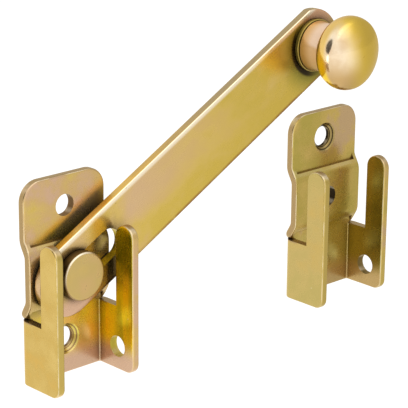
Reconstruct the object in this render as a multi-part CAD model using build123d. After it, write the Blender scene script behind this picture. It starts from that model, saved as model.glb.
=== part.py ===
from build123d import *
import os
from math import sqrt

# Throw-over gate bolt. A flat bar swings on the rivet of one forked bracket and
# drops into the fork of a second bracket, the keeper, on the other gate leaf.
# X runs along the closed bar, -Y points away from the gate and Z is up. Heights
# are drawn from the pivot's axis, and the finished pieces are then moved so that
# the origin is midway between the bolt holes of the pivot bracket, in the plane
# of the gate. Lengths are millimetres.

# Sheet of both brackets
sheet = 3.5
bend_inside = 0.6
sheared_round = 0.8

# Upright plate with its raised pad
plate_inset = 0.45
plate_top = 39.2
plate_bottom = -44.3
plate_corner = 8.5
plate_foot_corner = 4.0
pad_raise = 3.1
pad_top = 10.2
pad_bottom = -10.4
joggle_run = 5.4
joggle_inside = 4.0
punch_margin = 2.2
punch_reach = 13.3

# Side flanges with their free prongs
flange_span = 41.7
flange_depth = 24.0
flange_corner = 4.2
notch_floor = -17.0
prong_top = 17.8
prong_width = 10.7

# Holes in the brackets
bolt_hole = 9.0
upper_hole_height = 26.7
lower_hole_height = -29.6
countersink_width = 13.0
flange_hole_reach = 14.5
flange_hole_height = -34.3
pad_hole = 9.4

# Place of the keeper, from pivot to keeper centre line
keeper_spacing = 148.0

# Latch bar, measured along it from the pivot
bar_width = 30.0
bar_thickness = 4.0
bar_edge_round = 0.8
heel_centre = -4.3
slot_travel = 18.3
tip_centre = 149.2
tip_radius = 16.0
tip_corner = 1.2
rest_angle = 28.8

# Pivot rivet and its clearances
shoulder_width = 12.6
shoulder_clearance = 0.1
tenon_clearance = 0.05
end_play = 0.1
play_behind_bar = 0.5
play_before_bar = 0.2
head_width = 20.0
head_height = 4.3
head_edge_round = 0.9
tail_width = 12.6
tail_height = 1.9
tail_edge_round = 0.9

# Turned knob, with heights measured from the front of the bar
knob_past_tip_centre = 0.8
knob_width = 31.6
knob_rim_height = 19.7
knob_rim_round = 8.2
knob_back_radius = 20.0
knob_face_radius = 25.0
knob_face_edge_round = 4.0
knob_reach = 28.7
collar_overhang = 0.6
collar_height = 1.6
collar_edge_round = 0.4
groove_depth = 0.9
groove_height = 0.5
neck_root_width = 21.6
neck_waist_inset = 0.7
neck_end_inset = 0.4
knob_root_round = 0.7
knob_tenon_width = 9.0
knob_peen_width = 12.0
knob_peen_depth = 1.5
knob_seat_clearance = 0.02

# How far cutters run past the faces that they cut
overrun = 1.0
nearly = 0.01

# Widths and places that follow from the sizes above
plate_width = flange_span - 2 * plate_inset
punch_width = plate_width - 2 * punch_margin
knob_along = tip_centre + knob_past_tip_centre
collar_width = neck_root_width + 2 * collar_overhang
neck_waist_width = neck_root_width - 2 * neck_waist_inset
neck_end_width = neck_root_width - 2 * neck_end_inset

# Distances in front of the gate, worked out from the sizes above
pad_front = sheet + pad_raise
bar_back = pad_front + play_behind_bar
bar_front = bar_back + bar_thickness
head_back = bar_front + play_before_bar
head_front = head_back + head_height

along_bar = Rot(0, -rest_angle, 0)


def joggled_plate():
    """The plate in one thickness: flat, forward to the pad and back to flat."""
    front_line = [
        (-sheet, plate_top),
        (-sheet, pad_top + joggle_run),
        (-pad_front, pad_top),
        (-pad_front, pad_bottom),
        (-sheet, pad_bottom - joggle_run),
        (-sheet, plate_bottom),
    ]
    outside = joggle_inside + sheet
    with BuildSketch(Plane.YZ) as side_view:
        with BuildLine():
            radii = [joggle_inside, outside, outside, joggle_inside]
            FilletPolyline(*front_line, radius=radii)
            offset(amount=sheet, side=Side.LEFT)
        make_face()
    foot = notch_floor - sheared_round
    with BuildSketch(Plane.XZ) as front_view:
        with Locations((0, (plate_top + foot) / 2)):
            Rectangle(plate_width, plate_top - foot)
        fillet(front_view.vertices().group_by(Axis.Y)[-1], plate_corner)
        fillet(front_view.vertices().group_by(Axis.Y)[0], plate_foot_corner)
    plate = extrude(side_view.sketch, amount=plate_width, both=True)
    plate &= extrude(front_view.sketch, amount=2 * pad_front, both=True)
    across = plate.edges().filter_by(Axis.X)
    rim = plate.edges() - plate.edges().filter_by(Axis.Y) - across + across.group_by(Axis.Z)[-1]
    plate = fillet(rim, sheared_round) - below(notch_floor)
    return plate - punched_flat(punch_reach, plate_top) - punched_flat(notch_floor, -punch_reach)


def below(height):
    """Cutter for everything below a height."""
    size = 2 * flange_span
    hanging = (Align.CENTER, Align.CENTER, Align.MAX)
    return Pos(0, 0, height) * Box(size, size, size, align=hanging)


def punched_flat(low, high):
    """Cutter for the step that the pad's punch leaves where it ends short of the joggle."""
    middle = (0, -sheet - pad_raise / 2, (low + high) / 2)
    return Pos(*middle) * Box(punch_width, pad_raise, high - low)


def flange_outline():
    """Side view of a flange with its free prong, as a block across the bracket."""
    prong_axis = prong_width / 2 - flange_depth
    dome_centre = prong_top - prong_width / 2
    with BuildSketch(Plane.YZ) as side_view:
        with Locations((-flange_depth / 2, (notch_floor + plate_bottom) / 2)):
            Rectangle(flange_depth, notch_floor - plate_bottom)
        front_corner = side_view.vertices().sort_by(Axis.X)[:2].sort_by(Axis.Y)[0]
        fillet(front_corner, flange_corner)
        with Locations((prong_axis, (dome_centre + notch_floor) / 2)):
            Rectangle(prong_width, dome_centre - notch_floor)
        with Locations((prong_axis, dome_centre)):
            Circle(prong_width / 2)
    return extrude(side_view.sketch, amount=flange_span, both=True)


def forked_channel():
    """Lower plate with both flanges, bent from one sheet and cut to the fork."""
    side = flange_span / 2
    bend_outside = bend_inside + sheet
    with BuildSketch(Plane.XY.offset(plate_bottom)) as section:
        with BuildLine():
            path = [(-side, -flange_depth), (-side, 0), (side, 0), (side, -flange_depth)]
            FilletPolyline(*path, radius=bend_outside)
            offset(amount=sheet, side=Side.RIGHT)
        make_face()
    fork = extrude(section.sketch, amount=prong_top - plate_bottom) & flange_outline()

    def on_rim(edge):
        middle = edge.center()
        through = abs(edge.length - sheet) < nearly and edge.bounding_box().size.X > nearly
        in_notch = abs(middle.Z - notch_floor) < nearly
        on_flange = middle.Y < -bend_outside - nearly
        at_bottom = middle.Z < plate_bottom + nearly
        return (on_flange or at_bottom) and not (through or in_notch)

    return fillet(fork.edges().filter_by(on_rim), sheared_round)


def sheet_hole(x, z, width, countersunk=False):
    """Cutter along Y for a hole in the flat plate, with or without a 90 degree sink."""
    half = width / 2
    sink = (countersink_width - width) / 2
    with BuildSketch() as profile:
        with Locations((half / 2, -pad_front / 2)):
            Rectangle(half, pad_front + 2 * overrun)
        if countersunk:
            with BuildLine():
                rim = (countersink_width / 2 + overrun, -sheet - overrun)
                Polyline((0, rim[1]), rim, (half, sink - sheet), (0, sink - sheet), close=True)
            make_face()
    return Pos(x, 0, z) * revolve(profile.sketch, axis=Axis.Y)


def bracket(upper_countersunk):
    """One stamping. The two brackets differ only in which bolt hole is countersunk."""
    stamping = joggled_plate() + forked_channel()
    stamping -= sheet_hole(0, upper_hole_height, bolt_hole, upper_countersunk)
    stamping -= sheet_hole(0, lower_hole_height, bolt_hole, not upper_countersunk)
    stamping -= sheet_hole(0, 0, pad_hole)
    flange_cutter = Rot(0, 90, 0) * Cylinder(bolt_hole / 2, sheet + 2 * overrun)
    flange_middle = (flange_span - sheet) / 2
    stamping -= Pos(flange_middle, -flange_hole_reach, flange_hole_height) * flange_cutter
    return stamping


def latch_bar():
    """Flat bar with a round heel, a slot for the rivet and an arched tip."""
    half = bar_width / 2
    tip_edge = tip_centre + sqrt(tip_radius**2 - half**2)
    slot_width = shoulder_width + 2 * shoulder_clearance
    with BuildSketch(Plane.XZ.offset(bar_back)) as outline:
        with BuildLine():
            Line((heel_centre, half), (tip_edge, half))
            ThreePointArc((tip_edge, half), (tip_centre + tip_radius, 0), (tip_edge, -half))
            Line((tip_edge, -half), (heel_centre, -half))
            ThreePointArc((heel_centre, -half), (heel_centre - half, 0), (heel_centre, half))
        make_face()
        fillet(outline.vertices().sort_by(Axis.X)[-2:], tip_corner)
    blank = extrude(outline.sketch, amount=bar_thickness)
    bar = fillet(blank.edges() - blank.edges().filter_by(Axis.Y), bar_edge_round)
    with BuildSketch(Plane.XZ.offset(bar_back - overrun)) as slot:
        with Locations((slot_travel / 2, 0)):
            SlotCenterToCenter(slot_travel, slot_width)
    bar -= extrude(slot.sketch, amount=bar_thickness + 2 * overrun)
    return bar - knob_hole()


def at_knob(profile):
    """Turn a profile of radius and height above the bar's front about the knob's axis."""
    turned = revolve(profile.sketch, axis=Axis.Y)
    return Pos(knob_along, -bar_front, 0) * Rot(180, 0, 0) * turned


def tenon_points(clearance, past):
    """Half section of the tenon, peened out in a countersink at the bar's back.

    The cutter for its hole has a clearance and runs past both faces of the bar.
    """
    half = knob_tenon_width / 2 + clearance
    flare = (knob_peen_width - knob_tenon_width) / 2 / knob_peen_depth
    back = -bar_thickness - past
    return [
        (0, back),
        (half + flare * (knob_peen_depth + past), back),
        (half, knob_peen_depth - bar_thickness),
        (half, past),
    ]


def knob_hole():
    """Cutter through the bar for the knob's tenon."""
    with BuildSketch() as profile:
        with BuildLine():
            points = tenon_points(knob_seat_clearance, overrun)
            Polyline(*points, (0, overrun), close=True)
        make_face()
    return at_knob(profile)


def knob_head():
    """Half section of the head: a full rim, an arched back and a shallow domed face."""
    half_width = knob_width / 2
    arch_rise = sqrt((knob_back_radius - knob_rim_round) ** 2 - (half_width - knob_rim_round) ** 2)
    with BuildSketch() as head:
        with Locations((0, knob_rim_height + arch_rise)):
            Circle(knob_back_radius)
        with Locations((0, knob_rim_height - arch_rise)):
            Circle(knob_back_radius, mode=Mode.INTERSECT)
        fillet(head.vertices().sort_by(Axis.X)[-1], knob_rim_round)
        with Locations((0, knob_reach - knob_face_radius)):
            Circle(knob_face_radius, mode=Mode.INTERSECT)
        fillet(head.vertices().sort_by(Axis.Y)[-1], knob_face_edge_round)
        with Locations((-half_width - overrun, knob_rim_height)):
            Rectangle(2 * (half_width + overrun), 4 * half_width, mode=Mode.SUBTRACT)
    return head.sketch


def knob():
    """Turned knob: tenon, collar with a fine groove, waisted neck and domed head."""
    collar = collar_width / 2
    root = neck_root_width / 2
    neck_end = neck_end_width / 2
    groove_floor = root - groove_depth
    neck_start = collar_height + groove_height
    with BuildSketch() as profile:
        with BuildLine():
            Polyline(
                (0, knob_rim_height),
                *tenon_points(clearance=0, past=0),
                (collar, 0),
                (collar, collar_height),
                (groove_floor, collar_height),
                (groove_floor, neck_start),
                (root, neck_start),
            )
            waist = (neck_waist_width / 2, (neck_start + knob_rim_height) / 2)
            ThreePointArc((root, neck_start), waist, (neck_end, knob_rim_height))
            Line((neck_end, knob_rim_height), (0, knob_rim_height))
        make_face()
        collar_edge = profile.vertices().filter_by(lambda v: v.X > collar - nearly)
        fillet(collar_edge.sort_by(Axis.Y)[-1], collar_edge_round)
        add(knob_head())
        on_neck = profile.vertices().filter_by(lambda v: v.X > nearly)
        above_root = on_neck.filter_by(lambda v: v.Y > neck_start + nearly)
        fillet(above_root.sort_by(Axis.Y)[0], knob_root_round)
    return at_knob(profile)


def pivot_rivet():
    """Shouldered rivet: head, shoulder in the slot, tenon in the pad, peened tail."""
    head = head_width / 2
    shoulder = shoulder_width / 2
    tenon = pad_hole / 2 - tenon_clearance
    tail = tail_width / 2
    shoulder_back = -pad_front - end_play
    tail_front = end_play - pad_raise
    with BuildSketch() as profile:
        with BuildLine():
            Polyline(
                (0, -head_front),
                (head, -head_front),
                (head, -head_back),
                (shoulder, -head_back),
                (shoulder, shoulder_back),
                (tenon, shoulder_back),
                (tenon, tail_front),
                (tail, tail_front),
                (tail, tail_front + tail_height),
                (0, tail_front + tail_height),
                close=True,
            )
        make_face()
        rim = profile.vertices().filter_by(lambda v: v.X > 0)
        fillet(rim.sort_by(Axis.Y)[0], head_edge_round)
        fillet(profile.vertices().filter_by(lambda v: v.X > 0).sort_by(Axis.Y)[-1], tail_edge_round)
    return revolve(profile.sketch, axis=Axis.Y)


origin_height = (upper_hole_height + lower_hole_height) / 2
to_origin = Pos(0, 0, -origin_height)

nodes = {
    "pivot_bracket": bracket(upper_countersunk=False),
    "keeper_bracket": Pos(keeper_spacing, 0, 0) * bracket(upper_countersunk=True),
    "pivot_rivet": pivot_rivet(),
    "latch_bar": along_bar * latch_bar(),
    "knob": along_bar * knob(),
}

os.makedirs("parts", exist_ok=True)
for name, node in nodes.items():
    node = to_origin * node
    node.label = name
    export_step(node, f"parts/{name}.step")
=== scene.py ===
import math

import bpy
from mathutils import Matrix, Vector

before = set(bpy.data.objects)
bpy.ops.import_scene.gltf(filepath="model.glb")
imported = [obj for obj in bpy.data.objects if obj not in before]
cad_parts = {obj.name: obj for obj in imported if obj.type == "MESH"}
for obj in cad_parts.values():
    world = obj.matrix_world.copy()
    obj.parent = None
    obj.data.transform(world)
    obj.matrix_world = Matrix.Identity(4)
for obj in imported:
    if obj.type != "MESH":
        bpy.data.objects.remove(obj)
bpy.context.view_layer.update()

# Places in the shared frame, in metres
BAR_ANGLE = math.radians(28.8)
PIVOT = Vector((0.0, 0.0, 0.00145))
KEEPER = PIVOT + Vector((0.148, 0.0, 0.0))
KNOB_ALONG = 0.150
KNOB = PIVOT + KNOB_ALONG * Vector((math.cos(BAR_ANGLE), 0.0, math.sin(BAR_ANGLE)))
CENTRE = Vector((0.074, -0.01, 0.02))
FLOOR_Z = -0.30
FLOOR_HALF = 12.0

# Brackets, with places measured from the pivot or from the keeper's matching point
PLATE_SIDE = 0.0204
SHEET = 0.0035
NOTCH_FLOOR = -0.0170
FLANGE_FRONT = 0.0240
FLANGE_FOOT = -0.0443
UPPER_HOLE = 0.0267
PAD_HOLE = 0.0
LOWER_HOLE = -0.0296
SINK_RADIUS = 0.0065
RING_PITCH = 0.0010
FLANGE_HOLE = (-0.0145, -0.0343)
FLANGE_HOLE_RADIUS = 0.0045

# Latch bar and knob
BAR_HALF = 0.0150
BAR_FRONT = 0.0111
SLOT_HALF = 0.0064
SLOT_MIDDLE = 0.0092
SLOT_REACH = 0.0156
GROOVE = BAR_FRONT + 0.0019
NECK_TOP = BAR_FRONT + 0.0120

# Photograph's camera
CAMERA_PLACE = Vector((-0.4465, -0.5579, 0.25745))
CAMERA_AZIMUTH = math.radians(-43.247)
CAMERA_ELEVATION = math.radians(17.838)
CAMERA_ROLL = math.radians(0.535)
FOCAL_PIXELS = 1902.24
FRAME_PIXELS = 408
SENSOR_MM = 36.0
NEAR_CLIP = 0.01
FAR_CLIP = 60.0


def srgb(red, green, blue):
    """Colour given as 0 to 255 in sRGB, as the linear RGBA that a shader takes."""
    def linear(value):
        value /= 255
        return value / 12.92 if value <= 0.04045 else ((value + 0.055) / 1.055) ** 2.4
    return (linear(red), linear(green), linear(blue), 1.0)


# Colours of the floor and the light, and those that more than one piece has
WHITE = (1.0, 1.0, 1.0, 1.0)
FLOOR_GREY = (0.66, 0.66, 0.66, 1.0)
EDGE_TINT = (1.0, 0.92, 0.74, 1.0)
WARM_TAN = srgb(208, 174, 114)
GOLD = srgb(212, 182, 104)
HIGHLIGHT_AND_WEAR_CREAM = srgb(254, 238, 208)
BAR_PINK = srgb(218, 182, 142)
EDGE_BROWN = srgb(172, 144, 98)
CREASE_SHADE_BROWN = srgb(120, 92, 52)
SHADOW_BROWN = srgb(58, 42, 20)
GRIME = srgb(110, 88, 46)

# Colours of the brackets
FRONT_EDGE = srgb(190, 164, 86)
FILLET_SHADE_OLIVE = srgb(140, 110, 52)
PIVOT_LOOK = dict(
    front=(srgb(208, 172, 138), WARM_TAN, GOLD, srgb(210, 182, 74)),
    outer=(srgb(212, 168, 78), srgb(202, 170, 90), GOLD),
    # Bright yellow streaks on the right flange's inner face: a painted reflection
    painted_flange_light=(
        (0.34, srgb(188, 172, 20)),
        (0.46, srgb(226, 196, 14)),
        (0.56, srgb(240, 194, 12)),
        (0.66, srgb(190, 172, 18)),
    ),
    # Channel tones lighter and yellower than the front: painted reflected light
    low=(srgb(232, 184, 104), srgb(232, 202, 84), srgb(232, 192, 108)),
    foot=srgb(206, 170, 140),
    # Dark grooves of the turned rings, and painted shade on the bolt holes' walls
    hole=srgb(150, 118, 78),
    cut=(srgb(222, 206, 88), srgb(210, 176, 140)),
    # Shares of the painted shade in creases and in gaps
    crease=0.45,
    gap=0.95,
)
KEEPER_LOOK = dict(
    front=(srgb(200, 168, 122), srgb(206, 176, 96), srgb(196, 171, 88), srgb(188, 168, 80)),
    outer=(srgb(198, 168, 94), srgb(194, 170, 102), srgb(188, 168, 98)),
    # Dark olive streaks on the right flange's inner face: painted shade
    painted_flange_light=(
        (0.34, srgb(138, 124, 44)),
        (0.60, srgb(156, 132, 50)),
    ),
    low=(srgb(204, 178, 102), srgb(196, 176, 92)),
    foot=srgb(184, 154, 98),
    hole=srgb(52, 40, 20),
    cut=(srgb(164, 142, 88), srgb(140, 118, 68)),
    # Shares of the painted shade in creases and in gaps
    crease=0.35,
    gap=0.55,
)

# Colours of the bar
BAR_TAN = srgb(218, 182, 112)
BAR_GOLD = srgb(222, 190, 104)
BAR_YELLOW = srgb(214, 184, 80)
TIP_OLIVE = srgb(206, 180, 74)
TIP_ROSE = srgb(226, 178, 138)
HEEL_PINK = srgb(218, 178, 146)
KNOB_SHADE_OLIVE = srgb(154, 146, 58)
COLLAR_SHADE = srgb(66, 52, 26)
TOP_LIGHT_TONES = (srgb(196, 160, 92), srgb(232, 186, 92), srgb(220, 188, 112))
TOP_LIGHT_GREY = srgb(176, 154, 112)
UNDERSIDE_SHADE_OLIVE = srgb(140, 126, 42)
SLOT_YELLOW = srgb(206, 184, 40)
LOW_EDGE = srgb(158, 112, 60)

# Colours of the rivet and the knob
RIVET_TAN = srgb(204, 176, 108)
RIVET_SIDE_SHADE = srgb(112, 90, 54)
KNOB_GOLD = srgb(232, 194, 112)
KNOB_YELLOW = srgb(226, 190, 78)
KNOB_REFLECTION_YELLOW = srgb(236, 200, 30)
KNOB_TAN = srgb(192, 158, 104)
PEACH = srgb(250, 216, 184)
NECK_ORANGE = srgb(236, 184, 112)
COLLAR_OLIVE = srgb(186, 162, 74)

# Noise of the plating, with scales in cells per metre
DRIFT = dict(scale=34.0, detail=3.0, roughness=0.55, distortion=0.4)
CLOUD = dict(scale=140.0, detail=3.0, roughness=0.6)
GRAIN = dict(scale=3200.0, detail=2.0, roughness=0.6)
STRIPES = dict(scale=110.0, detail=2.0, distortion=0.3, stretch=(1.0, 1.0, 0.18))
WAVES = dict(scale=60.0, detail=1.0)
SCRATCHES = dict(scale=420.0, detail=3.0, stretch=(0.10, 1.0, 1.0))
WAVE_BUMP = dict(strength=0.22, distance=0.0004)
SCRATCH_BUMP = dict(strength=0.035, distance=0.0001)
GRAIN_BUMP = dict(strength=0.02, distance=0.00004)
PITS = dict(scale=170.0, edge=0.040, tint=GRIME, share=0.6)
NICKS = dict(scale=105.0, edge=0.026, tint=HIGHLIGHT_AND_WEAR_CREAM, share=0.7)

# Tones, roughness and roundings of the plating, and the reach of the painted shade in creases and gaps
NOISE_RANGE = (0.2, 0.8)
TONE_START = 0.33
TONE_REACH = 0.34
CLOUD_SHIFT = 0.10
GRAIN_SHIFT = 0.006
SATIN_RANGE = (0.3, 0.7)
SMOOTHER = 0.04
ROUGHER = 0.05
DULL_ROUGHNESS = 0.7
TURNING = (0.92, 0.76)
IN_FILLET = (0.02, 0.10)
CREASE_REACH = 0.0035
GAP_REACH = 0.012
CLOSENESS_SAMPLES = 8


class Nodes:
    """Short calls for shader nodes."""

    def __init__(self, node_tree):
        self.nodes = node_tree.nodes
        self.links = node_tree.links
        self.nodes.clear()

    def add(self, kind, **settings):
        node = self.nodes.new(kind)
        for key, value in settings.items():
            setattr(node, key, value)
        return node

    def feed(self, socket, value):
        """Link another node's socket, or set a plain value."""
        if isinstance(value, bpy.types.NodeSocket):
            self.links.new(value, socket)
        else:
            socket.default_value = value

    def math(self, operation, first, second=0.0):
        node = self.add("ShaderNodeMath", operation=operation)
        self.feed(node.inputs[0], first)
        self.feed(node.inputs[1], second)
        return node.outputs[0]

    def vector(self, operation, first, second=(0.0, 0.0, 0.0)):
        node = self.add("ShaderNodeVectorMath", operation=operation)
        self.feed(node.inputs[0], first)
        self.feed(node.inputs[1], second)
        return node.outputs["Value" if operation in ("DOT_PRODUCT", "LENGTH") else "Vector"]

    def axes(self, vector):
        node = self.add("ShaderNodeSeparateXYZ")
        self.feed(node.inputs["Vector"], vector)
        return node.outputs["X"], node.outputs["Y"], node.outputs["Z"]

    def span(self, value, low, high, to_low=0.0, to_high=1.0):
        """Smooth change from to_low to to_high as the value goes from low to high."""
        node = self.add("ShaderNodeMapRange", interpolation_type="SMOOTHSTEP")
        self.feed(node.inputs["Value"], value)
        node.inputs["From Min"].default_value = low
        node.inputs["From Max"].default_value = high
        node.inputs["To Min"].default_value = to_low
        node.inputs["To Max"].default_value = to_high
        return node.outputs["Result"]

    def both(self, *masks):
        """1 where all the masks are 1."""
        product = masks[0]
        for mask in masks[1:]:
            product = self.math("MULTIPLY", product, mask)
        return product

    def either(self, *masks):
        """The largest of the masks."""
        largest = masks[0]
        for mask in masks[1:]:
            largest = self.math("MAXIMUM", largest, mask)
        return largest

    def outside(self, mask):
        """1 where the mask is 0."""
        return self.math("SUBTRACT", 1.0, mask)

    def size(self, value):
        """The value without its sign."""
        return self.math("ABSOLUTE", value)

    def away(self, first, first_middle, second, second_middle):
        """Distance from a line along the third axis."""
        node = self.add("ShaderNodeCombineXYZ")
        self.feed(node.inputs["X"], self.math("SUBTRACT", first, first_middle))
        self.feed(node.inputs["Y"], self.math("SUBTRACT", second, second_middle))
        return self.vector("LENGTH", node.outputs["Vector"])


class Plating(Nodes):
    """Yellow-chromated zinc on one piece, with places and normals in the piece's own frame."""

    # The Mix node's sockets for two colours and their mix
    FIRST_COLOUR = 6
    SECOND_COLOUR = 7
    MIXED_COLOUR = 2

    def __init__(self, name, origin, seed, tilt=0.0, stretch=(1.0, 1.0, 1.0)):
        self.material = bpy.data.materials.new(name)
        self.material.use_nodes = True
        super().__init__(self.material.node_tree)
        coordinates = self.add("ShaderNodeTexCoord").outputs
        self.spot = self.turned(self.vector("SUBTRACT", coordinates["Object"], origin), tilt)
        normal = self.turned(coordinates["Normal"], tilt)
        self.x, self.y, self.z = self.axes(self.spot)
        self.nx, self.ny, self.nz = self.axes(normal)
        stretched = self.vector("MULTIPLY", self.spot, stretch)
        self.grained = self.vector("ADD", stretched, (seed, 2 * seed, 3 * seed))
        self.drift = self.noise(**DRIFT)
        self.cloud = self.noise(**CLOUD)
        self.grain = self.noise(**GRAIN)
        # Closeness of the piece's own creases: it finds the inner fillets and carries the painted crease
        # shade
        self.creases = self.closed_in(CREASE_REACH, own_only=True, light=0.85, dark=0.30)

    def turned(self, vector, tilt):
        """Vector from the shared frame in the frame of a piece that is tilted about Y."""
        node = self.add("ShaderNodeVectorRotate", rotation_type="Y_AXIS")
        self.feed(node.inputs["Vector"], vector)
        node.inputs["Angle"].default_value = tilt
        return node.outputs["Vector"]

    def noise(self, scale, detail=2.0, roughness=0.5, distortion=0.0, stretch=(1.0, 1.0, 1.0)):
        node = self.add("ShaderNodeTexNoise")
        self.feed(node.inputs["Vector"], self.vector("MULTIPLY", self.grained, stretch))
        node.inputs["Scale"].default_value = scale
        node.inputs["Detail"].default_value = detail
        node.inputs["Roughness"].default_value = roughness
        node.inputs["Distortion"].default_value = distortion
        return node.outputs["Fac"]

    def ramp(self, value, stops):
        """Colour for a value, from stops of place and colour."""
        node = self.add("ShaderNodeValToRGB")
        self.feed(node.inputs["Fac"], value)
        elements = node.color_ramp.elements
        while len(elements) < len(stops):
            elements.new(0.5)
        for element, (place, colour) in zip(elements, stops):
            element.position = place
            element.color = colour
        return node.outputs["Color"]

    def mix(self, share, first, second, blend="MIX"):
        node = self.add("ShaderNodeMix", data_type="RGBA", blend_type=blend)
        self.feed(node.inputs["Factor"], share)
        self.feed(node.inputs[self.FIRST_COLOUR], first)
        self.feed(node.inputs[self.SECOND_COLOUR], second)
        return node.outputs[self.MIXED_COLOUR]

    def bump(self, height, strength, distance, normal=None):
        node = self.add("ShaderNodeBump")
        node.inputs["Strength"].default_value = strength
        node.inputs["Distance"].default_value = distance
        self.feed(node.inputs["Height"], height)
        if normal is not None:
            self.feed(node.inputs["Normal"], normal)
        return node.outputs["Normal"]

    def tones(self, *colours, shift=0.0):
        """Drifting tints with clouds and fine grain, from the first colour to the last."""
        clouds = self.span(self.cloud, *NOISE_RANGE, shift - CLOUD_SHIFT, shift + CLOUD_SHIFT)
        shade = self.math("ADD", self.drift, clouds)
        shade = self.math("ADD", shade, self.span(self.grain, *NOISE_RANGE, -GRAIN_SHIFT, GRAIN_SHIFT))
        step = TONE_REACH / (len(colours) - 1)
        stops = [(TONE_START + step * number, colour) for number, colour in enumerate(colours)]
        return self.ramp(shade, stops)

    def roundings(self):
        """Masks of rounded outer edges and of inner fillets, where normals are far from each axis."""
        largest = self.either(self.size(self.nx), self.size(self.ny), self.size(self.nz))
        turning = self.span(largest, *TURNING)
        inner = self.span(self.creases, *IN_FILLET)
        return self.both(turning, self.outside(inner)), self.both(turning, inner)

    def closed_in(self, reach, own_only, light, dark):
        """1 where surfaces within reach close a place in, 0 in the open."""
        node = self.add("ShaderNodeAmbientOcclusion", samples=CLOSENESS_SAMPLES, only_local=own_only)
        node.inputs["Distance"].default_value = reach
        return self.span(node.outputs["AO"], light, dark)

    def shaded(self, colour, crease, gap, light, dark):
        """Painted shade: darken creases of the piece itself and narrow gaps to its neighbours."""
        creased = self.mix(1.0, colour, CREASE_SHADE_BROWN, blend="MULTIPLY")
        colour = self.mix(self.math("MULTIPLY", self.creases, crease), colour, creased)
        closed = self.mix(1.0, colour, SHADOW_BROWN, blend="MULTIPLY")
        share = self.math("MULTIPLY", self.closed_in(GAP_REACH, False, light, dark), gap)
        return self.mix(share, colour, closed)

    def specks(self, colour, scale, edge, tint, share):
        """Sparse round spots of another tint."""
        node = self.add("ShaderNodeTexVoronoi")
        self.feed(node.inputs["Vector"], self.grained)
        node.inputs["Scale"].default_value = scale
        spots = self.span(node.outputs["Distance"], edge, edge * 0.5, 0.0, share)
        return self.mix(spots, colour, tint)

    def finish(self, colour, satin, metallic, dull=0.0):
        """Shader with the specks, fine roughness, faint waves and grain of the plating."""
        shader = self.add("ShaderNodeBsdfPrincipled")
        self.feed(shader.inputs["Metallic"], metallic)
        shader.inputs["Specular Tint"].default_value = EDGE_TINT
        colour = self.specks(self.specks(colour, **PITS), **NICKS)
        self.feed(shader.inputs["Base Color"], colour)
        roughness = self.span(self.cloud, *SATIN_RANGE, satin - SMOOTHER, satin + ROUGHER)
        roughness = self.either(roughness, self.math("MULTIPLY", dull, DULL_ROUGHNESS))
        self.feed(shader.inputs["Roughness"], roughness)
        normal = self.bump(self.noise(**WAVES), **WAVE_BUMP)
        normal = self.bump(self.noise(**SCRATCHES), **SCRATCH_BUMP, normal=normal)
        normal = self.bump(self.grain, **GRAIN_BUMP, normal=normal)
        self.feed(shader.inputs["Normal"], normal)
        output = self.add("ShaderNodeOutputMaterial")
        self.links.new(shader.outputs["BSDF"], output.inputs["Surface"])
        return self.material


# Fades on the brackets, from where a mask is 0 to where it is 1, or with other shares given
LEFT_NX = (-0.5, -0.9)
SIDE_NX = (0.6, 0.95)
UP_NZ = (0.5, 0.9)
FRONT_NY = (-0.6, -0.9)
OUTER_SKIN_X = (-0.0185, -0.0200)
CHANNEL_X = (PLATE_SIDE - 0.0020, PLATE_SIDE - 0.0035)
CHANNEL_Y = (-SHEET + 0.0010, -SHEET)
CHANNEL_Z = (NOTCH_FLOOR + 0.0020, NOTCH_FLOOR - 0.0010)
RIGHT_FLANGE_X = (0.0, 0.0150)
FOOT_Z = (FLANGE_FOOT + 0.014, FLANGE_FOOT + 0.005)
PLATE_EDGE_Y = (-0.0085, -0.0075)
PLATE_EDGE_Z = (NOTCH_FLOOR - 0.001, NOTCH_FLOOR)
FLANGE_EDGE_X = (0.0, -0.0150)
FLANGE_EDGE_Y = (0.0010 - FLANGE_FRONT, 0.0003 - FLANGE_FRONT)
AT_BOLT_HOLE = (SINK_RADIUS + 0.0002, SINK_RADIUS)
RINGS = (0.4 * RING_PITCH, 0.8 * RING_PITCH)
CONE_FROM_NY = (-0.95, -0.80)
CONE_TO_NY = (-0.35, -0.55)
BOLT_WALL_NY = (0.50, 0.30)
AT_FLANGE_HOLE = (FLANGE_HOLE_RADIUS + 0.0002, FLANGE_HOLE_RADIUS)
FLANGE_WALL_NX = (0.6, 0.4)
WEAR_AND_HIGHLIGHT_CLOUD = (0.35, 0.65, 0.10, 0.60)
# Shares of the painted gap shade left on upward faces and on the plate's front
UPWARD_GAP = 0.30
PLATE_GAP = 0.62


def bracket_holes(tree, colour, hole, cut):
    """Colour with turned countersinks and hole walls in painted shade, then the masks of walls and
    countersinks.
    """
    cut_metal = tree.tones(*cut)
    walls = []
    cones = []
    for height in (UPPER_HOLE, PAD_HOLE, LOWER_HOLE):
        from_axis = tree.away(tree.x, 0.0, tree.z, height)
        near = tree.span(from_axis, *AT_BOLT_HOLE)
        rings = tree.span(tree.math("MODULO", from_axis, RING_PITCH), *RINGS)
        turned = tree.mix(rings, cut_metal, hole)
        cone = tree.both(near, tree.span(tree.ny, *CONE_FROM_NY), tree.span(tree.ny, *CONE_TO_NY))
        colour = tree.mix(cone, colour, turned)
        cones.append(cone)
        walls.append(tree.both(near, tree.span(tree.size(tree.ny), *BOLT_WALL_NY)))
    from_axis = tree.away(tree.y, FLANGE_HOLE[0], tree.z, FLANGE_HOLE[1])
    flange_wall = tree.both(
        tree.span(from_axis, *AT_FLANGE_HOLE),
        tree.span(tree.size(tree.nx), *FLANGE_WALL_NX),
    )
    bolt_wall = tree.either(*walls)
    # Painted shade on the bolt holes' walls
    colour = tree.mix(bolt_wall, colour, hole)
    colour = tree.mix(flange_wall, colour, cut_metal)
    return colour, tree.either(flange_wall, bolt_wall), tree.either(*cones)


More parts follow.
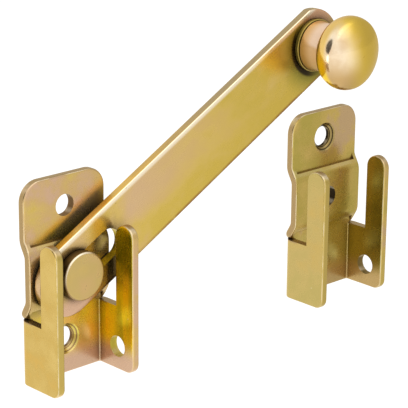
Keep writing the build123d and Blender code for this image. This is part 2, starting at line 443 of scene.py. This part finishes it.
def bracket_plating(name, origin, seed, front, outer, painted_flange_light, low, foot, hole, cut, crease, gap):
    """Bracket: tinted front, even outer skins, other tints in the channel and the holes, painted light on
    the right flange's inner face, rounded edges paled as wear and painted highlight, and painted shade in
    fillets, creases and gaps.
    """
    tree = Plating(name, origin, seed)
    leftward = tree.span(tree.nx, *LEFT_NX)
    upward = tree.span(tree.nz, *UP_NZ)
    colour = tree.tones(*front)
    on_outer_skin = tree.both(leftward, tree.span(tree.x, *OUTER_SKIN_X))
    colour = tree.mix(on_outer_skin, colour, tree.tones(*outer))
    in_channel = tree.both(
        tree.span(tree.size(tree.x), *CHANNEL_X),
        tree.span(tree.y, *CHANNEL_Y),
        tree.span(tree.z, *CHANNEL_Z),
    )
    colour = tree.mix(in_channel, colour, tree.tones(*low))
    on_flange = tree.both(leftward, tree.span(tree.x, *RIGHT_FLANGE_X))
    # Painted light on the right flange's inner face, in streaks
    colour = tree.mix(on_flange, colour, tree.ramp(tree.noise(**STRIPES), painted_flange_light))
    near_foot = tree.both(tree.either(in_channel, on_flange), tree.span(tree.z, *FOOT_Z))
    colour = tree.mix(near_foot, colour, foot)
    plate_edge = tree.both(
        tree.span(tree.size(tree.nx), *SIDE_NX),
        tree.span(tree.y, *PLATE_EDGE_Y),
        tree.span(tree.z, *PLATE_EDGE_Z),
    )
    colour = tree.mix(tree.either(plate_edge, upward), colour, EDGE_BROWN)
    flange_edge = tree.both(tree.span(tree.y, *FLANGE_EDGE_Y), tree.span(tree.x, *FLANGE_EDGE_X))
    colour = tree.mix(flange_edge, colour, FRONT_EDGE)
    colour, walls, cones = bracket_holes(tree, colour, hole, cut)
    outer_edge, fillet = tree.roundings()
    # Painted shade in the inner fillets
    colour = tree.mix(fillet, colour, FILLET_SHADE_OLIVE)
    # Rounded outer edges paled with cream, partly as wear and partly as a painted highlight
    wear_and_highlight = tree.both(outer_edge, tree.outside(cones), tree.span(tree.cloud, *WEAR_AND_HIGHLIGHT_CLOUD))
    colour = tree.mix(wear_and_highlight, colour, HIGHLIGHT_AND_WEAR_CREAM)
    # Painted shade from closeness, weaker on upward faces and on the plate's front
    gap = tree.math("MULTIPLY", tree.span(tree.nz, *UP_NZ, 1.0, UPWARD_GAP), gap)
    on_plate = tree.span(tree.ny, *FRONT_NY)
    gap = tree.math("MULTIPLY", tree.span(on_plate, 0.0, 1.0, 1.0, PLATE_GAP), gap)
    colour = tree.shaded(colour, crease=crease, gap=gap, light=0.80, dark=0.22)
    return tree.finish(colour, satin=0.26, metallic=0.80, dull=walls)


# Fades on the bar in the same way, with x along it from the rivet and z across it
TIP_TONES_X = (0.070, 0.135)
PINK_X = (0.100, 0.010)
PINK_Z = (-0.006, 0.006, 0.2, 1.0)
PINK_DRIFT = (0.40, 0.56, 1.0, 0.10)
YELLOW_X = (0.018, 0.040)
YELLOW_Z = (0.001, -0.012)
YELLOW_CLOUD = (0.32, 0.58, 0.3, 0.95)
HEEL_X = (0.016, 0.002)
HEEL_Z = (-0.002, -0.009)
BAR_FRONT_NY = (-0.2, -0.6)
AT_KNOB = (0.024, 0.013, 0.0, 0.85)
TIP_X = (0.146, 0.152)
TIP_Z = (-0.002, 0.008)
COLLAR_LEFT_X = (KNOB_ALONG - 0.002, KNOB_ALONG - 0.010)
AT_COLLAR = (0.0142, 0.0130)
OUTER_SIDE_Z = (SLOT_HALF + 0.0011, SLOT_HALF + 0.0021)
TOP_GREY_X = (0.030, 0.100)
TOP_NZ = (0.70, 0.92)
UNDER_NZ = (-0.25, -0.6)
SLOT_NY = (0.9, 0.6)
SLOT_X = (SLOT_REACH + 0.0019, SLOT_REACH + 0.0009)
# Share of the painted gap shade left in the slot
SLOT_GAP = 0.25
TOP_HIGHLIGHT_NY = (-0.50, -0.75)
TOP_HIGHLIGHT_Z = (BAR_HALF - 0.0026, BAR_HALF - 0.0010)
LOW_EDGE_NY = (-0.20, -0.40)
LOW_EDGE_Z = (0.0020 - BAR_HALF, 0.0009 - BAR_HALF)
LOW_EDGE_CLOUD = (0.35, 0.60, 0.3, 0.9)


def bar_plating(name, seed):
    """Bar: gold, pinker near the rivet, yellow to olive near the knob and the lower edge, with painted
    light on its top face, a painted highlight along its top edge, and painted shade around the knob, at
    the collar, on its underside and in gaps.
    """
    tree = Plating(name, PIVOT, seed, tilt=BAR_ANGLE, stretch=(0.6, 1.0, 1.0))
    colour = tree.tones(BAR_TAN, BAR_GOLD, BAR_YELLOW)
    tip_tones = tree.tones(BAR_GOLD, BAR_YELLOW, TIP_OLIVE)
    colour = tree.mix(tree.span(tree.x, *TIP_TONES_X), colour, tip_tones)
    pink = tree.both(
        tree.span(tree.x, *PINK_X),
        tree.span(tree.z, *PINK_Z),
        tree.span(tree.drift, *PINK_DRIFT),
    )
    colour = tree.mix(pink, colour, BAR_PINK)
    yellow = tree.both(
        tree.span(tree.z, *YELLOW_Z),
        tree.span(tree.x, *YELLOW_X),
        tree.span(tree.cloud, *YELLOW_CLOUD),
    )
    colour = tree.mix(yellow, colour, BAR_YELLOW)
    on_heel = tree.both(tree.span(tree.x, *HEEL_X), tree.span(tree.z, *HEEL_Z))
    colour = tree.mix(on_heel, colour, HEEL_PINK)
    from_knob = tree.away(tree.x, KNOB_ALONG, tree.z, 0.0)
    on_front = tree.span(tree.ny, *BAR_FRONT_NY)
    # Painted shade on the bar's front around the knob
    knob_shade = tree.both(on_front, tree.span(from_knob, *AT_KNOB))
    colour = tree.mix(knob_shade, colour, KNOB_SHADE_OLIVE)
    at_tip = tree.both(on_front, tree.span(tree.x, *TIP_X), tree.span(tree.z, *TIP_Z))
    colour = tree.mix(at_tip, colour, TIP_ROSE)
    leftward = tree.span(tree.x, *COLLAR_LEFT_X)
    at_collar = tree.both(on_front, leftward, tree.span(from_knob, *AT_COLLAR))
    colour = tree.mix(at_collar, colour, COLLAR_SHADE)
    outer_side = tree.span(tree.size(tree.z), *OUTER_SIDE_Z)
    # Painted light on the top face: its own tones, greyer further from the rivet
    top_light = tree.mix(tree.span(tree.x, *TOP_GREY_X), tree.tones(*TOP_LIGHT_TONES), TOP_LIGHT_GREY)
    colour = tree.mix(tree.both(tree.span(tree.nz, *TOP_NZ), outer_side), colour, top_light)
    # Painted shade on the underside
    colour = tree.mix(tree.both(tree.span(tree.nz, *UNDER_NZ), outer_side), colour, UNDERSIDE_SHADE_OLIVE)
    in_slot = tree.both(
        tree.span(tree.size(tree.ny), *SLOT_NY),
        tree.span(tree.size(tree.math("SUBTRACT", tree.x, SLOT_MIDDLE)), *SLOT_X),
        tree.outside(outer_side),
    )
    colour = tree.mix(in_slot, colour, SLOT_YELLOW)
    # Painted highlight along the top of the front face
    top_edge_highlight = tree.both(tree.span(tree.ny, *TOP_HIGHLIGHT_NY), tree.span(tree.z, *TOP_HIGHLIGHT_Z))
    colour = tree.mix(top_edge_highlight, colour, HIGHLIGHT_AND_WEAR_CREAM)
    low_edge = tree.both(
        tree.span(tree.z, *LOW_EDGE_Z),
        tree.span(tree.ny, *LOW_EDGE_NY),
        tree.span(tree.cloud, *LOW_EDGE_CLOUD),
    )
    colour = tree.mix(low_edge, colour, LOW_EDGE)
    # Painted shade from closeness, weaker in the slot
    gap = tree.span(in_slot, 0.0, 1.0, 1.0, SLOT_GAP)
    colour = tree.shaded(colour, crease=0.6, gap=gap, light=0.92, dark=0.50)
    return tree.finish(colour, satin=0.25, metallic=0.80)


# Fades on the rivet, and the direction in which its rim gets a painted highlight
RIM_FROM_NY = (-0.985, -0.90)
RIM_TO_NY = (-0.25, -0.50)
RIVET_SIDE_NY = (0.45, 0.20)
UP_LEFT = (-0.55, 0.0, 0.83)
RIM_HIGHLIGHT = (0.002, 0.008)


def rivet_plating(name, seed):
    """Rivet: matte gold-tan face with a painted highlight on its upper-left edge, and painted shade on
    the rest of its rim and on its brown sides.
    """
    tree = Plating(name, PIVOT, seed)
    colour = tree.tones(WARM_TAN, RIVET_TAN, GOLD)
    # Painted shade on the rim, with a painted highlight on its upper-left part
    rim = tree.both(tree.span(tree.ny, *RIM_FROM_NY), tree.span(tree.ny, *RIM_TO_NY))
    colour = tree.mix(rim, colour, EDGE_BROWN)
    up_left = tree.vector("DOT_PRODUCT", tree.spot, UP_LEFT)
    colour = tree.mix(tree.both(rim, tree.span(up_left, *RIM_HIGHLIGHT)), colour, HIGHLIGHT_AND_WEAR_CREAM)
    # Painted shade on the head's sides
    colour = tree.mix(tree.span(tree.size(tree.ny), *RIVET_SIDE_NY), colour, RIVET_SIDE_SHADE)
    colour = tree.shaded(colour, crease=0.3, gap=0.9, light=0.90, dark=0.40)
    return tree.finish(colour, satin=0.30, metallic=0.7)


# Fades on the knob, from its middle, and the directions in which its painted highlight and painted
# reflection change
KNOB_LOW_Z = (0.004, -0.010)
RIGHTWARD = (1.0, 0.0, 0.30)
DEEP_SIDE = (-0.0110, 0.0010)
KNOB_BACK_NY = (-0.30, 0.05)
LOW_LEFT = (-0.6, 0.0, -0.8)
DEEP_BACK = (0.006, 0.013)
NECK_Y = (-NECK_TOP - 0.0006, -NECK_TOP + 0.0010)
NECK_RADIUS = (0.0125, 0.0120)
TO_COLLAR_Y = (-NECK_TOP + 0.0040, -GROOVE - 0.0010)
COLLAR_Y = (-GROOVE - 0.0001, -GROOVE + 0.0002)
HEAD_METAL = 0.86
NECK_METAL = 0.35


def knob_plating(name, seed):
    """Knob: a painted highlight in cream and pink at its left that turns tan below, yellow at its right
    and behind with a painted reflection in deep yellow low on the left, an orange neck.
    """
    tree = Plating(name, KNOB, seed)
    # Painted highlight in pink and cream on the left, turning tan below
    knob_highlight = tree.mix(tree.span(tree.z, *KNOB_LOW_Z), tree.tones(BAR_PINK, HIGHLIGHT_AND_WEAR_CREAM, shift=0.05), KNOB_TAN)
    deep = tree.tones(KNOB_GOLD, KNOB_YELLOW, KNOB_YELLOW)
    rightward = tree.vector("DOT_PRODUCT", tree.spot, RIGHTWARD)
    colour = tree.mix(tree.span(rightward, *DEEP_SIDE), knob_highlight, deep)
    behind = tree.span(tree.ny, *KNOB_BACK_NY)
    colour = tree.mix(behind, colour, KNOB_GOLD)
    # Painted reflection in deep yellow low on the left of the back
    low_left = tree.vector("DOT_PRODUCT", tree.spot, LOW_LEFT)
    colour = tree.mix(tree.both(behind, tree.span(low_left, *DEEP_BACK)), colour, KNOB_REFLECTION_YELLOW)
    on_neck = tree.both(
        tree.span(tree.y, *NECK_Y),
        tree.span(tree.away(tree.x, 0.0, tree.z, 0.0), *NECK_RADIUS),
    )
    neck = tree.mix(tree.span(tree.y, *TO_COLLAR_Y), PEACH, NECK_ORANGE)
    colour = tree.mix(on_neck, colour, neck)
    colour = tree.mix(tree.span(tree.y, *COLLAR_Y), colour, COLLAR_OLIVE)
    colour = tree.shaded(colour, crease=0.5, gap=0.8, light=0.88, dark=0.30)
    metallic = tree.span(on_neck, 0.0, 1.0, HEAD_METAL, NECK_METAL)
    return tree.finish(colour, satin=0.15, metallic=metallic)


def dress(node, material):
    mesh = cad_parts[node].data
    mesh.materials.clear()
    mesh.materials.append(material)


# Directions of the surround, seen from the object
TO_RIGHT = (1.0, 0.0, 0.0)
BACK_ABOVE = (0.09, 0.69, 0.71)
DARK_SIDE = Vector((-0.918, 0.072, 0.388)).normalized()
WHITE_CARD = Vector((-0.968, 0.022, -0.190)).normalized()
KEY_LIGHT = Vector((0.04, -0.58, 0.81)).normalized()

# Light that reflections see, from one cosine to another off each direction, and the light at both
RIGHT_LIGHT = (0.20, 0.95, 1.12, 0.58)
ABOVE_LIGHT = (0.60, 0.95, 1.0, 0.85)
DARK_LIGHT = (0.925, 0.950, 1.0, 0.02)
CARD_GLOW = (0.982, 0.990, 0.0, 1.6)
KEY_GLOW = (0.80, 0.98, 0.0, 0.55)
FLOOR_GLOW = 0.60


def surround(tree, direction):
    """Bright in front, dimmer to the right and above, a dark patch and a white card at the left."""
    right = tree.vector("DOT_PRODUCT", direction, TO_RIGHT)
    level = tree.span(right, *RIGHT_LIGHT)
    back_above = tree.vector("DOT_PRODUCT", direction, BACK_ABOVE)
    level = tree.math("MULTIPLY", level, tree.span(back_above, *ABOVE_LIGHT))
    at_dark = tree.vector("DOT_PRODUCT", direction, DARK_SIDE)
    level = tree.math("MULTIPLY", level, tree.span(at_dark, *DARK_LIGHT))
    at_card = tree.vector("DOT_PRODUCT", direction, WHITE_CARD)
    level = tree.math("ADD", level, tree.span(at_card, *CARD_GLOW))
    at_key = tree.vector("DOT_PRODUCT", direction, KEY_LIGHT)
    return tree.math("ADD", level, tree.span(at_key, *KEY_GLOW))


def ray_light(tree, direction):
    """Mask of the rays that see the white surround, and the change to it that glossy rays see."""
    path = tree.add("ShaderNodeLightPath").outputs
    seen = tree.either(path["Is Camera Ray"], path["Is Glossy Ray"], path["Is Transmission Ray"])
    change = tree.math("SUBTRACT", surround(tree, direction), 1.0)
    return seen, tree.math("MULTIPLY", path["Is Glossy Ray"], change)


def floor_material():
    """Pale matt floor. Its glow shows only to the camera, in reflections and through glass."""
    material = bpy.data.materials.new("pale_floor")
    material.use_nodes = True
    tree = Nodes(material.node_tree)
    matt = tree.add("ShaderNodeBsdfDiffuse")
    matt.inputs["Color"].default_value = FLOOR_GREY
    place = tree.add("ShaderNodeTexCoord").outputs["Object"]
    direction = tree.vector("NORMALIZE", tree.vector("SUBTRACT", place, CENTRE))
    seen, change = ray_light(tree, direction)
    glow = tree.math("MULTIPLY", seen, tree.math("ADD", FLOOR_GLOW, change))
    light = tree.add("ShaderNodeEmission")
    light.inputs["Color"].default_value = WHITE
    tree.feed(light.inputs["Strength"], tree.math("MAXIMUM", glow, 0.0))
    added = tree.add("ShaderNodeAddShader")
    tree.links.new(matt.outputs["BSDF"], added.inputs[0])
    tree.links.new(light.outputs["Emission"], added.inputs[1])
    output = tree.add("ShaderNodeOutputMaterial")
    tree.links.new(added.outputs["Shader"], output.inputs["Surface"])
    return material


def floor():
    mesh = bpy.data.meshes.new("floor")
    corners = [(x * FLOOR_HALF, y * FLOOR_HALF, FLOOR_Z) for x, y in ((-1, -1), (1, -1), (1, 1), (-1, 1))]
    mesh.from_pydata(corners, [], [(0, 1, 2, 3)])
    mesh.materials.append(floor_material())
    piece = bpy.data.objects.new("floor", mesh)
    bpy.context.scene.collection.objects.link(piece)


def world_light(fill):
    """White to the camera, the surround in reflections, and a level fill for the rest."""
    world = bpy.data.worlds.new("studio")
    bpy.context.scene.world = world
    world.use_nodes = True
    tree = Nodes(world.node_tree)
    direction = tree.vector("NORMALIZE", tree.add("ShaderNodeTexCoord").outputs["Generated"])
    seen, change = ray_light(tree, direction)
    strength = tree.math("ADD", tree.math("MULTIPLY", seen, 1.0 - fill), tree.math("ADD", change, fill))
    light = tree.add("ShaderNodeBackground")
    light.inputs["Color"].default_value = WHITE
    tree.feed(light.inputs["Strength"], strength)
    output = tree.add("ShaderNodeOutputWorld")
    tree.links.new(light.outputs["Background"], output.inputs["Surface"])


def lamp(name, direction, distance, size, radiance):
    """Softbox in a direction from the object, facing it and left out of reflections."""
    light = bpy.data.lights.new(name, "AREA")
    light.shape = "RECTANGLE"
    light.size, light.size_y = size
    light.energy = radiance * math.pi * size[0] * size[1]
    thing = bpy.data.objects.new(name, light)
    bpy.context.scene.collection.objects.link(thing)
    place = CENTRE + distance * direction
    thing.location = place
    thing.visible_glossy = False
    thing.rotation_euler = (CENTRE - place).to_track_quat("-Z", "Y").to_euler()


def photo_camera():
    """Pinhole camera fitted to the photograph, from its place, angles and focal length."""
    sin_a, cos_a = math.sin(CAMERA_AZIMUTH), math.cos(CAMERA_AZIMUTH)
    sin_e, cos_e = math.sin(CAMERA_ELEVATION), math.cos(CAMERA_ELEVATION)
    back = Vector((sin_a * cos_e, -cos_a * cos_e, sin_e))
    right = Vector((cos_a, sin_a, 0.0))
    up = Vector((-sin_e * sin_a, sin_e * cos_a, cos_e))
    turned_right = math.cos(CAMERA_ROLL) * right + math.sin(CAMERA_ROLL) * up
    turned_up = -math.sin(CAMERA_ROLL) * right + math.cos(CAMERA_ROLL) * up
    lens = bpy.data.cameras.new("photo")
    lens.sensor_width = SENSOR_MM
    lens.lens = SENSOR_MM * FOCAL_PIXELS / FRAME_PIXELS
    lens.clip_start = NEAR_CLIP
    lens.clip_end = FAR_CLIP
    camera = bpy.data.objects.new("photo", lens)
    bpy.context.scene.collection.objects.link(camera)
    axes = Matrix((turned_right, turned_up, back)).transposed().to_4x4()
    camera.matrix_world = Matrix.Translation(CAMERA_PLACE) @ axes
    bpy.context.scene.camera = camera


dress("pivot_bracket", bracket_plating("plated_pivot_bracket", PIVOT, seed=0.31, **PIVOT_LOOK))
dress("keeper_bracket", bracket_plating("plated_keeper_bracket", KEEPER, seed=0.77, **KEEPER_LOOK))
dress("pivot_rivet", rivet_plating("plated_rivet", seed=1.13))
dress("latch_bar", bar_plating("plated_bar", seed=1.71))
dress("knob", knob_plating("plated_knob", seed=2.39))
floor()
world_light(fill=0.75)
lamp("key", KEY_LIGHT, distance=0.9, size=(0.80, 0.60), radiance=1.2)
photo_camera()
bpy.context.scene.view_settings.view_transform = "Standard"
